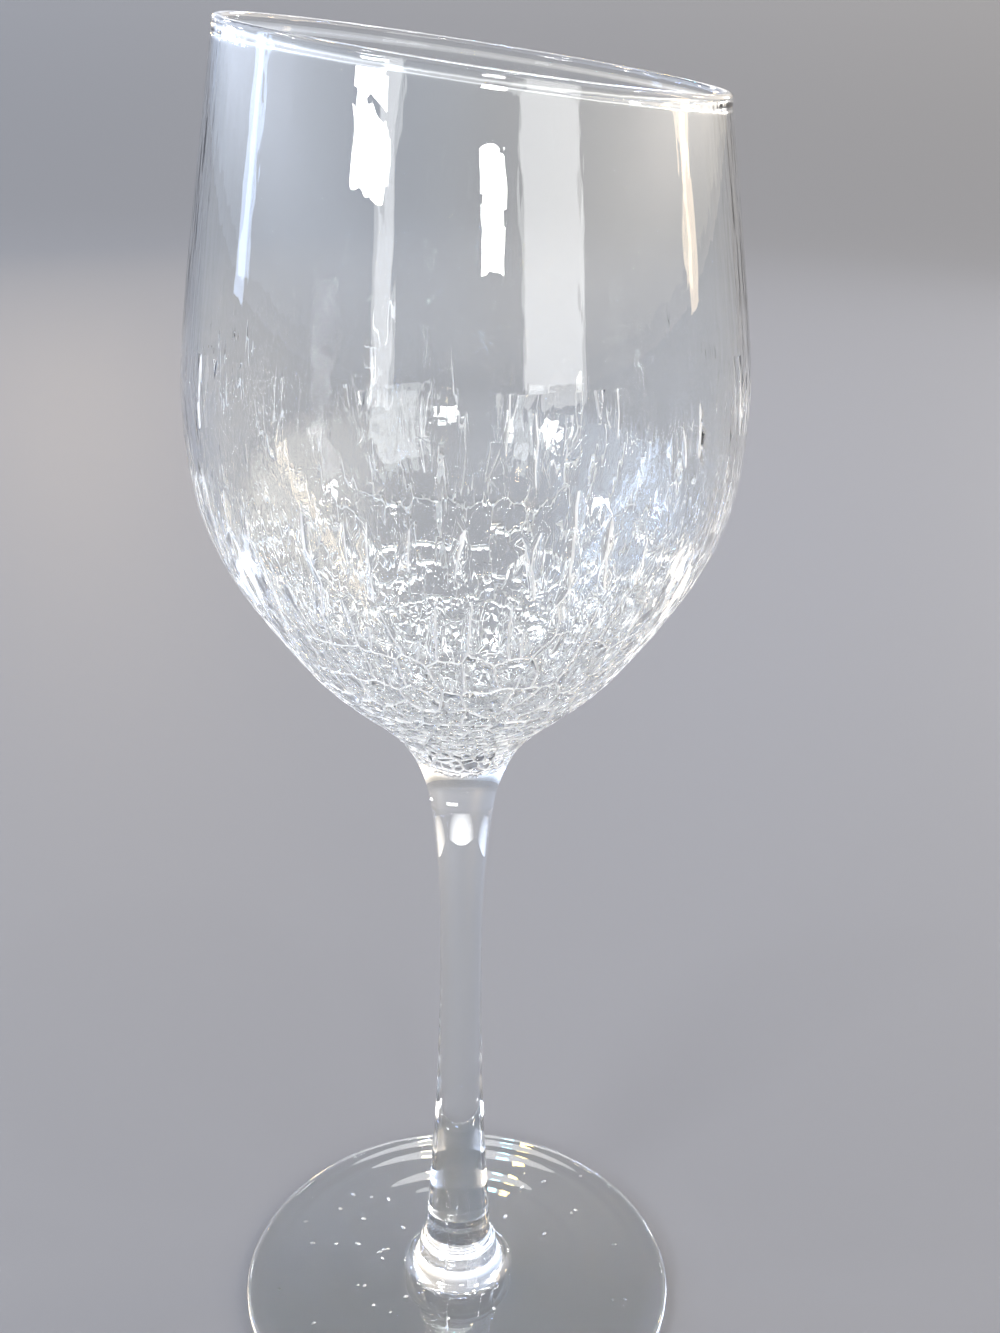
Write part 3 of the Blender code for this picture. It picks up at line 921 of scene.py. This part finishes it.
# Seed bubbles
# Specks of air left in the melt. Pressing drew the ones in the foot out round the axis. They are
# closed air spaces inside the glass, scattered by a node tree over a ring within the foot.
SEED_RING = (10.0, 39.0)
SEED_LEVEL = (1.25, 1.6)
SEED_RADIUS = (0.2, 0.34)
SEED_DRAWN = 2.2
SEED_FLATNESS = 0.9
SEED_COUNT = 54
SEED_DRAW = 4


def value_input(group, name, kind, value):
    """Adds a named input to the group and gives its socket identifier and value."""
    made = group.interface.new_socket(name, in_out="INPUT", socket_type=kind)
    return made.identifier, value


# Air, seen from the glass around it, so its index is one over the glass's: the wall of a bubble
# mirrors light, and it is a bright speck
air = bpy.data.materials.new("air_in_glass")
air.use_nodes = True
shader = air.node_tree.nodes["Principled BSDF"]
shader.inputs["Base Color"].default_value = linear("#FFFFFF")
shader.inputs["Roughness"].default_value = 0.0
shader.inputs["IOR"].default_value = 0.662
shader.inputs["Transmission Weight"].default_value = 1.0
group = bpy.data.node_groups.new("seed_scatter", "GeometryNodeTree")
group.interface.new_socket("Geometry", in_out="OUTPUT", socket_type="NodeSocketGeometry")
settings = [
    value_input(group, "Count", "NodeSocketInt", SEED_COUNT),
    value_input(group, "Inner Radius", "NodeSocketFloat", SEED_RING[0] * MM),
    value_input(group, "Outer Radius", "NodeSocketFloat", SEED_RING[1] * MM),
    value_input(group, "Lowest", "NodeSocketFloat", SEED_LEVEL[0] * MM),
    value_input(group, "Highest", "NodeSocketFloat", SEED_LEVEL[1] * MM),
    value_input(group, "Smallest", "NodeSocketFloat", SEED_RADIUS[0] * MM),
    value_input(group, "Largest", "NodeSocketFloat", SEED_RADIUS[1] * MM),
    value_input(group, "Drawn Out", "NodeSocketFloat", SEED_DRAWN),
    value_input(group, "Seed", "NodeSocketInt", SEED_DRAW)]
given = node(group, "NodeGroupInput").outputs
draws = []
for offset, (low, high) in enumerate((
        (0.0, math.tau), (given["Inner Radius"], given["Outer Radius"]),
        (given["Lowest"], given["Highest"]), (given["Smallest"], given["Largest"]),
        (1.0, given["Drawn Out"]), (-0.5, 0.5))):
    seed = node(group, "ShaderNodeMath", {"operation": "ADD"}, given["Seed"], offset)
    pick = node(group, "FunctionNodeRandomValue", {"data_type": "FLOAT"}, low, high,
                Seed=seed.outputs["Value"])
    draws.append([socket for socket in pick.outputs if socket.enabled][0])
turn, reach, level, size, longer, skew = draws
place = node(group, "ShaderNodeCombineXYZ", Z=level)
for axis, operation in (("X", "COSINE"), ("Y", "SINE")):
    part = node(group, "ShaderNodeMath", {"operation": operation}, turn)
    across = node(group, "ShaderNodeMath", {"operation": "MULTIPLY"}, part.outputs["Value"], reach)
    group.links.new(across.outputs["Value"], place.inputs[axis])
points = node(group, "GeometryNodePoints", Count=given["Count"], Position=place.outputs["Vector"])
drawn_out = node(group, "ShaderNodeCombineXYZ", None, longer, 1.0, SEED_FLATNESS)
scale = node(group, "ShaderNodeVectorMath", {"operation": "SCALE"}, drawn_out.outputs["Vector"],
             Scale=size)
facing = node(group, "ShaderNodeMath", {"operation": "ADD"}, turn, skew)
facing = node(group, "ShaderNodeCombineXYZ", Z=facing.outputs["Value"])
ball = node(group, "GeometryNodeMeshIcoSphere", Radius=1.0, Subdivisions=3)
copies = node(group, "GeometryNodeInstanceOnPoints", Points=points.outputs["Geometry"],
              Instance=ball.outputs["Mesh"], Scale=scale.outputs["Vector"])
group.links.new(facing.outputs["Vector"], copies.inputs["Rotation"])
real = node(group, "GeometryNodeRealizeInstances", Geometry=copies.outputs["Instances"])
finished = node(group, "GeometryNodeSetMaterial", Geometry=real.outputs["Geometry"])
finished.inputs["Material"].default_value = air
end = node(group, "NodeGroupOutput")
group.links.new(finished.outputs["Geometry"], end.inputs["Geometry"])
seeds_object = bpy.data.objects.new("seed_bubbles", bpy.data.meshes.new("seed_start"))
bpy.context.scene.collection.objects.link(seeds_object)
modifier = seeds_object.modifiers.new("seed_scatter", "NODES")
modifier.node_group = group
for identifier, value in settings:
    modifier[identifier] = value
bpy.context.view_layer.update()
graph = bpy.context.evaluated_depsgraph_get()
seed_mesh = bpy.data.meshes.new_from_object(seeds_object.evaluated_get(graph))
seeds_object.modifiers.remove(modifier)
seeds_object.data = seed_mesh
seed_mesh.shade_smooth()
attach(seeds_object, "root")

# Floor
# A pale, matt studio sheet that runs past the view on every side.
FLOOR_DROP = 0.0001
FLOOR_REACH = 60.0
floor_mesh = bpy.data.meshes.new("floor")
floor_mesh.from_pydata([(x * FLOOR_REACH, y * FLOOR_REACH, -FLOOR_DROP)
                        for x, y in ((-1, -1), (1, -1), (1, 1), (-1, 1))], [], [(0, 1, 2, 3)])
floor = bpy.data.objects.new("floor", floor_mesh)
bpy.context.scene.collection.objects.link(floor)
# Matt paper-faced sheet, even in colour, with a soft shine only at a low angle
paper = bpy.data.materials.new("pale_studio_sheet")
paper.use_nodes = True
shader = paper.node_tree.nodes["Principled BSDF"]
shader.inputs["Base Color"].default_value = linear("#6C6D70")
shader.inputs["Roughness"].default_value = 0.6
floor_mesh.materials.append(paper)


# Studio
# Soft boxes that the camera doesn't see: window panes and bright walls behind it, strips at the
# sides, over the foot and low behind the glass, and small lamps whose glints make the glitter.
BOWL_MIDDLE = Vector((0.0, 0.0, 0.2))


def soft_box(name, azimuth, elevation, distance, size, radiance, colour, spread=180):
    """An area light seen from the bowl in this direction, turned to it. An azimuth of 0 is
    behind the glass and 180 is at the camera."""
    light = bpy.data.lights.new(name, "AREA")
    light.spread = math.radians(spread)
    light.shape = "RECTANGLE"
    light.size, light.size_y = size
    light.energy = radiance * math.pi * size[0] * size[1]
    light.color = linear(colour)[:3]
    lamp = bpy.data.objects.new(name, light)
    turn, rise = math.radians(azimuth), math.radians(elevation)
    away = Vector((math.sin(turn) * math.cos(rise), math.cos(turn) * math.cos(rise),
                   math.sin(rise)))
    lamp.location = BOWL_MIDDLE + away * distance
    lamp.rotation_euler = (-away).to_track_quat("-Z", "Y").to_euler()
    lamp.visible_camera = False
    bpy.context.scene.collection.objects.link(lamp)


soft_box("window_left_top", -138.5, 15.5, 1.4, (0.32, 0.075), 60.0, "#FFFFFF")
soft_box("window_left_low", -138.5, 11.7, 1.4, (0.32, 0.075), 60.0, "#FFFFFF")
soft_box("window_right_top", 170.5, 12.0, 1.4, (0.24, 0.05), 60.0, "#FFFFFF")
soft_box("window_right_low", 170.5, 9.2, 1.4, (0.24, 0.05), 60.0, "#FFFFFF")
soft_box("wall_right", 146, 14, 1.7, (0.75, 1.0), 4.0, "#FFFFFF")
soft_box("wall_left", -147, 14, 1.7, (0.22, 1.0), 4.0, "#FFFFFF")
soft_box("strip_left", -80, 16, 1.0, (0.1, 0.6), 6.0, "#C9DDFF")
soft_box("strip_right", 80, 16, 1.0, (0.1, 0.6), 6.0, "#FFE6C4")
soft_box("strip_over_foot", 4, 21, 1.35, (1.1, 0.1), 4.0, "#FFFFFF")
soft_box("low_strip_middle", 1, -41, 0.25, (0.2, 0.026), 0.25, "#FFFFFF", 50)
soft_box("low_strip_left", -46, -41, 0.25, (0.2, 0.026), 0.25, "#DCE8FF", 50)
soft_box("low_strip_right", 48, -41, 0.25, (0.2, 0.026), 0.25, "#FFF4E6", 50)
for number, (azimuth, elevation, colour) in enumerate((
        (-62, 12, "#A8C0FF"), (-34, 24, "#FFFFFF"), (-17, 8, "#FFE0B0"), (13, 18, "#B8CCFF"),
        (31, 7, "#FFFFFF"), (58, 20, "#FFD9A0"), (-95, 30, "#FFFFFF"), (98, 28, "#FFFFFF"),
        (-72, 45, "#FFFFFF"), (-40, 60, "#FFE0B0"), (8, 70, "#B8CCFF"),
        (27, 52, "#FFFFFF"), (52, 66, "#FFFFFF"), (76, 42, "#A8C0FF"), (140, 62, "#FFFFFF"),
        (-125, 58, "#FFFFFF"))):
    soft_box(f"glint_{number}", azimuth, elevation, 1.3, (0.085, 0.085), 50.0, colour)
for number, (azimuth, elevation, colour) in enumerate((
        (4.1, 22.7, "#8FE3FF"), (5.6, 23.6, "#FFDD80"), (-2.9, 22.6, "#FFF0D0"))):
    soft_box(f"bulb_{number}", azimuth, elevation, 1.4, (0.024, 0.024), 45.0, colour)

# A soft room: brightest at the sides, dim at the horizon, overhead and behind the camera, cool on
# one side and warm on the other
world = bpy.data.worlds.new("soft_room")
world.use_nodes = True
tree = world.node_tree
sky = node(tree, "ShaderNodeTexCoord").outputs["Generated"]
axes = node(tree, "ShaderNodeSeparateXYZ", Vector=sky)
sideways = node(tree, "ShaderNodeMath", {"operation": "ABSOLUTE"}, axes.outputs["X"])
strength = 1.0
for along, start, finish, first, last in (
        (axes.outputs["Z"], 0.0, 0.15, 0.6, 1.9), (axes.outputs["Z"], 0.5, 0.8, 1.0, 0.35),
        (axes.outputs["Y"], -0.6, 0.1, 0.62, 1.0), (sideways.outputs["Value"], 0.5, 0.9, 1.0, 1.8)):
    ramp = node(tree, "ShaderNodeMapRange", {"interpolation_type": "SMOOTHSTEP"},
                along, start, finish, first, last)
    strength = node(tree, "ShaderNodeMath", {"operation": "MULTIPLY"},
                    ramp.outputs["Result"], strength).outputs["Value"]
warmth = node(tree, "ShaderNodeMapRange", {"interpolation_type": "SMOOTHSTEP"},
              axes.outputs["X"], -0.6, 0.6, 0.0, 1.0)
tint = node(tree, "ShaderNodeMixRGB", Fac=warmth.outputs["Result"], Color1=linear("#DCE8FF"),
            Color2=linear("#FFF4E6"))
tree.links.new(strength, tree.nodes["Background"].inputs["Strength"])
tree.links.new(tint.outputs["Color"], tree.nodes["Background"].inputs["Color"])
bpy.context.scene.world = world

# Camera
# It stands where the photograph was taken from, a little above the rim and tipped down.
CAMERA_PLACE = Vector((0.0, -0.2529, 0.2481))
CAMERA_YAW = 0.0247
CAMERA_PITCH = 0.4112
CAMERA_ROLL = 0.0198
forward = Vector((math.sin(CAMERA_YAW) * math.cos(CAMERA_PITCH),
                  math.cos(CAMERA_YAW) * math.cos(CAMERA_PITCH), -math.sin(CAMERA_PITCH)))
right = forward.cross(Vector((0, 0, 1))).normalized()
up = right.cross(forward)
turned_right = right * math.cos(CAMERA_ROLL) + up * math.sin(CAMERA_ROLL)
turned_up = up * math.cos(CAMERA_ROLL) - right * math.sin(CAMERA_ROLL)
camera_data = bpy.data.cameras.new("camera")
camera_data.sensor_width = 36.0
camera_data.lens = 43.2
camera_data.clip_start = 0.01
camera = bpy.data.objects.new("camera", camera_data)
camera.matrix_world = Matrix.Translation(CAMERA_PLACE) @ Matrix(
    (turned_right, turned_up, -forward)).transposed().to_4x4()
bpy.context.scene.collection.objects.link(camera)
bpy.context.scene.camera = camera

# Light that goes through many glass walls and back off the crack walls, and a clean picture from
# few samples. The clamp is high, so that windows seen through the glass stay bright.
cycles = bpy.context.scene.cycles
cycles.max_bounces = 28
cycles.transmission_bounces = 26
cycles.glossy_bounces = 24
cycles.transparent_max_bounces = 16
cycles.caustics_reflective = True
cycles.caustics_refractive = True
cycles.blur_glossy = 0.3
cycles.sample_clamp_indirect = 40.0
cycles.use_denoising = True
bpy.context.scene.view_settings.view_transform = "Standard"
